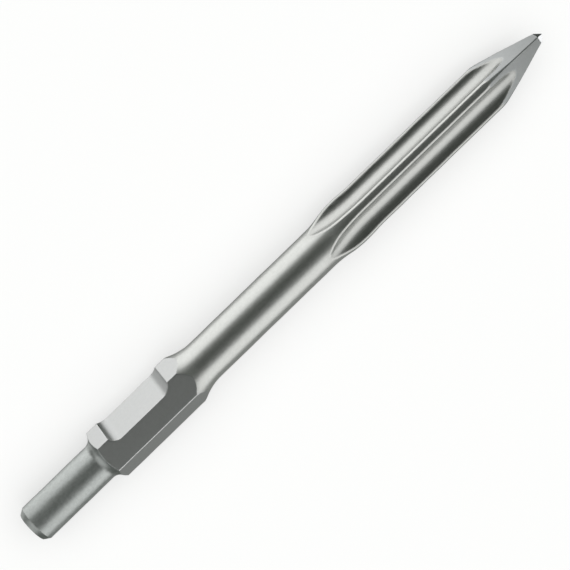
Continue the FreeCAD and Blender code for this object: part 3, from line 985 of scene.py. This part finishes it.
# Painted shade: the hollow number darkens the colour by the Hollow shade share.
shaded = maths(wear_and_painted_shade, "MULTIPLY", carried(wear_and_painted_shade, "hollow"), given.outputs["Hollow shade"])
bright = maths(wear_and_painted_shade, "ADD", tone, rubbed)
level = maths(wear_and_painted_shade, "MULTIPLY", bright, maths(wear_and_painted_shade, "SUBTRACT", 1.0, shaded))
feed(wear_and_painted_shade, made.inputs["Color"], dimmed(wear_and_painted_shade, given.outputs["Steel"], level))
uneven = maths(wear_and_painted_shade, "MULTIPLY", given.outputs["Contrast"], CLOUDS_IN_ROUGHNESS)
rougher = maths(wear_and_painted_shade, "MULTIPLY_ADD", clouds, uneven, given.outputs["Roughness"])
smoother = maths(wear_and_painted_shade, "MULTIPLY", rubbed, RUB_POLISH)
feed(wear_and_painted_shade, made.inputs["Roughness"], maths(wear_and_painted_shade, "SUBTRACT", rougher, smoother))
print("node groups:", ", ".join(group.name for group in bpy.data.node_groups))

# %% [markdown]
# ## Five finishes of one steel
# The nose is turned and then blasted hardest, so it is the dullest. The flats of the shank are milled,
# the shaft and the blade are forged, and the point is ground last, after the blasting. Its very tip has
# a darker colour, which is painted shade. All five are the same material with other numbers, so one
# function makes them.

# %% Mix the finishes
MICRON = 1e-6

Finish = namedtuple("Finish", "name colour roughness contrast grain marks edge_shine hollow_shade")


def steel_finish(one):
    """A steel from the shared groups. Grain and marks are bump heights in microns."""
    material = bpy.data.materials.new(one.name)
    material.use_nodes = True
    tree = material.node_tree
    skin = tree.nodes["Principled BSDF"]
    skin.inputs["Metallic"].default_value = 1.0
    place = tree.nodes.new("ShaderNodeTexCoord").outputs["Object"]
    grain, marking, wear_and_shade_node = [tree.nodes.new("ShaderNodeGroup") for _ in range(3)]
    grain.node_tree, marking.node_tree, wear_and_shade_node.node_tree = blasted, tooling, wear_and_painted_shade
    feed(tree, grain.inputs["Vector"], place)
    feed(tree, marking.inputs["Vector"], place)
    for label, value in (
        ("Steel", (*one.colour, 1)), ("Mottle", grain.outputs["Mottle"]), ("Contrast", one.contrast),
        ("Roughness", one.roughness), ("Edge shine", one.edge_shine), ("Hollow shade", one.hollow_shade),
    ):
        feed(tree, wear_and_shade_node.inputs[label], value)
    feed(tree, skin.inputs["Base Color"], wear_and_shade_node.outputs["Color"])
    feed(tree, skin.inputs["Roughness"], wear_and_shade_node.outputs["Roughness"])
    relief = maths(tree, "MULTIPLY", grain.outputs["Height"], one.grain)
    relief = maths(tree, "MULTIPLY_ADD", marking.outputs["Height"], one.marks, relief)
    bump = tree.nodes.new("ShaderNodeBump")
    bump.inputs["Distance"].default_value = MICRON
    feed(tree, bump.inputs["Height"], relief)
    feed(tree, skin.inputs["Normal"], bump.outputs["Normal"])
    mesh.materials.append(material)


# The forged steel's hollow shade of 0.32 is painted shade in its flutes.
steel_finish(Finish("forged_blasted_steel", (0.576, 0.580, 0.562), 0.37, 0.35, 8.0, 0.0, 0.06, 0.32))
steel_finish(Finish("milled_shank_steel", (0.508, 0.512, 0.510), 0.40, 0.20, 4.0, 1.5, 0.10, 0.0))
steel_finish(Finish("turned_nose_steel", (0.462, 0.480, 0.470), 0.42, 0.75, 14.0, 4.0, 0.05, 0.0))
steel_finish(Finish("ground_point_steel", (0.540, 0.552, 0.556), 0.38, 0.20, 4.0, 2.0, 0.10, 0.0))
# Painted shade: the tip's darker steel colour.
steel_finish(Finish("painted_shade_tip_steel", (0.380, 0.382, 0.390), 0.22, 0.20, 3.0, 0.0, 0.10, 0.0))
print("finishes:", ", ".join(material.name for material in mesh.materials))

# %% [markdown]
# ## Which finish goes where
# A mesh can wear several materials, and each of its faces names one by its number in the list. The
# masks say which. The first mask that is true wins, and what no mask picks out is forged.

# %% Share the finishes out
FORGED, MILLED, TURNED, GROUND, DARK_TIP = range(5)

masks = [station > TIP_START, ground, turned, on_flat]
which = np.select(masks, [DARK_TIP, GROUND, TURNED, MILLED], FORGED).ravel()
fans = [np.full(COLUMNS, TURNED), np.full(COLUMNS, DARK_TIP)]
polygon_finish = np.concatenate([which[quads[:, 0]], *fans])
mesh.polygons.foreach_set("material_index", polygon_finish.astype(np.int32))
mesh.update()
print("faces of each finish:", np.bincount(polygon_finish).tolist())

# %% [markdown]
# ## The size of the imported model
# The skin must stay inside the box of the imported model. That box is printed here, in metres. Both boxes
# go into a small file, in metres, so they can be compared after each render.

# %% Print the imported model's size
print("packed model:", [[round(v, 5) for v in corner] for corner in cad_box])
